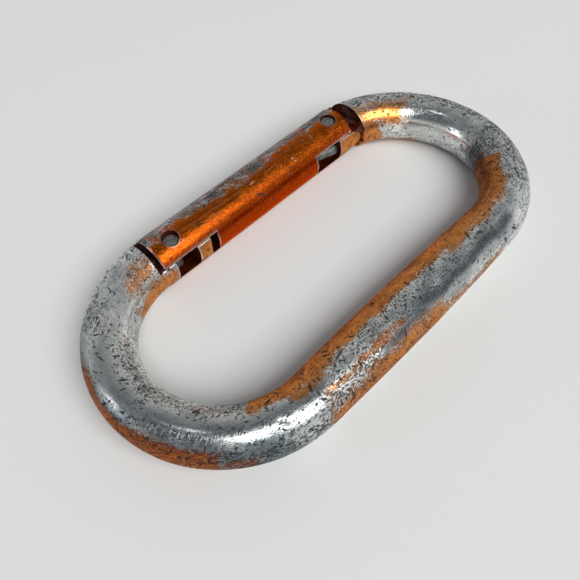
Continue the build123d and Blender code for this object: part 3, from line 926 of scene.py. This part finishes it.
steels = {
    "latch_rivet": scratchedSteel("rivetSteel", (0.38, 0.39, 0.37), (0.17, 0.18, 0.17), 0.45),
    "push_rod": scratchedSteel("rodSteel", (0.22, 0.225, 0.22), (0.11, 0.115, 0.11), 0.6),
}
dress(spring, scratchedSteel("springSteel", (0.55, 0.55, 0.56), (0.35, 0.35, 0.36), 0.3))
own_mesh(spring)
steels["hinge_rivet"] = steels["latch_rivet"]
for nodeName, steel in steels.items():
    dress(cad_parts[nodeName], steel)
print("steel pieces done")

studio = {
    "cameraPlace": (-60.66, -52.60, 101.54),
    "lookDirection": (-133.82, 54.18),
    "roll": -2.60, "lens": 37.43,
    "floorColour": (0.82, 0.82, 0.81), "ceilingColour": (0.07, 0.08, 0.095),
    "wallColour": (0.48, 0.48, 0.47), "horizonColour": (0.66, 0.66, 0.655),
    "floorHalf": 6.0,
    "floorFade": (0.15, 0.7),  # where the floor runs into the backdrop
    "horizonFade": (0.12, 0.40),
    "wallWay": (0.28, 0.38, -0.36),  # the way from the dark ceiling to the pale wall
    "wallFade": (-0.45, 0.40),
}

# Soft boxes: azimuth, elevation, distance, width and height, level, tint.
softBoxes = {
    "keySoftBox": (-99, 46, 3.6, (3.11, 2.16), 1.03, (1.0, 0.995, 0.98)),
    "edgeSoftBox": (-65, 37, 1.5, (0.42, 0.40), 0.035, (1, 1, 1)),
    "sideSoftBox": (152, 14, 1.0, (0.24, 0.42), 0.05, (0.97, 0.98, 1.0)),
    "topSoftBox": (162, 70, 1.0, (0.16, 0.16), 0.012, (1, 1, 1)),
}


def towards(azimuth, elevation):
    a, e = math.radians(azimuth), math.radians(elevation)
    return Vector((math.cos(e) * math.cos(a), math.cos(e) * math.sin(a), math.sin(e)))


def setCamera():
    # The camera looks back at the part, rolled a little about its line of sight.
    back = towards(*studio["lookDirection"])
    right = (-back).cross(Vector((0, 0, 1))).normalized()
    up = right.cross(-back)
    roll = math.radians(studio["roll"])
    side = math.cos(roll) * right + math.sin(roll) * up
    top = -math.sin(roll) * right + math.cos(roll) * up
    lens = bpy.data.cameras.new("camera")
    lens.lens = studio["lens"]
    lens.sensor_width = 36
    lens.clip_start = 0.005
    camera = addObject("camera", lens)
    place = Vector(studio["cameraPlace"]) * millimetre
    camera.matrix_world = Matrix.Translation(place) @ Matrix((side, top, back)).transposed().to_4x4()
    scene.camera = camera


def softLamp(name, azimuth, elevation, distance, size, level, tint):
    # A soft box facing the part. Its power grows with its distance, so that level is what the part receives.
    lamp = bpy.data.lights.new(name, "AREA")
    lamp.shape = "RECTANGLE"
    lamp.size, lamp.size_y = size
    lamp.energy = level * math.pi * math.pi * distance ** 2
    lamp.color = tint
    holder = addObject(name, lamp)
    way = towards(azimuth, elevation)
    holder.location = way * distance
    holder.rotation_euler = way.to_track_quat("Z", "Y").to_euler()


def setFloor():
    half = studio["floorHalf"]
    mesh = bpy.data.meshes.new("floor")
    mesh.from_pydata([(-half, -half, 0), (half, -half, 0), (half, half, 0), (-half, half, 0)], [], [(0, 1, 2, 3)])
    floor = addObject("floor", mesh)
    material = bpy.data.materials.new("paleFloor")
    w = Wires(material)
    plain = w.add("ShaderNodeBsdfDiffuse", {"Color": (*studio["floorColour"], 1)})
    # Far from the part the floor runs into the plain backdrop.
    glow = w.add("ShaderNodeEmission", {"Color": (*studio["horizonColour"], 1)})
    place = w.add("ShaderNodeTexCoord").outputs["Object"]
    distance = w.add("ShaderNodeVectorMath", {0: place}, operation="LENGTH").outputs["Value"]
    ray = w.add("ShaderNodeLightPath").outputs
    seen = w.strongest(ray["Is Camera Ray"], ray["Is Glossy Ray"], ray["Is Transmission Ray"])
    far = w.times(w.ease(distance, *studio["floorFade"]), seen)
    w.show(w.add("ShaderNodeMixShader", {0: far, 1: plain.outputs[0], 2: glow.outputs[0]}))
    mesh.materials.append(material)


def setWorld():
    # The room is pale at the horizon, dark overhead, and paler again by the far wall.
    world = bpy.data.worlds.new("room")
    scene.world = world
    w = Wires(world)
    way = w.add("ShaderNodeTexCoord").outputs["Generated"]
    tilt = w.add("ShaderNodeVectorMath", {0: way, 1: studio["wallWay"]}, operation="DOT_PRODUCT").outputs["Value"]
    height = w.add("ShaderNodeSeparateXYZ", {0: way}).outputs["Z"]
    room = w.blend(w.ease(tilt, *studio["wallFade"]), studio["ceilingColour"], studio["wallColour"])
    room = w.blend(w.ease(height, *studio["horizonFade"]), studio["horizonColour"], room)
    w.show(w.add("ShaderNodeBackground", {"Color": room}), "ShaderNodeOutputWorld")


setCamera()
setFloor()
setWorld()
for boxName, softBox in softBoxes.items():
    softLamp(boxName, *softBox)
scene.view_settings.view_transform = "Standard"
print("studio set")
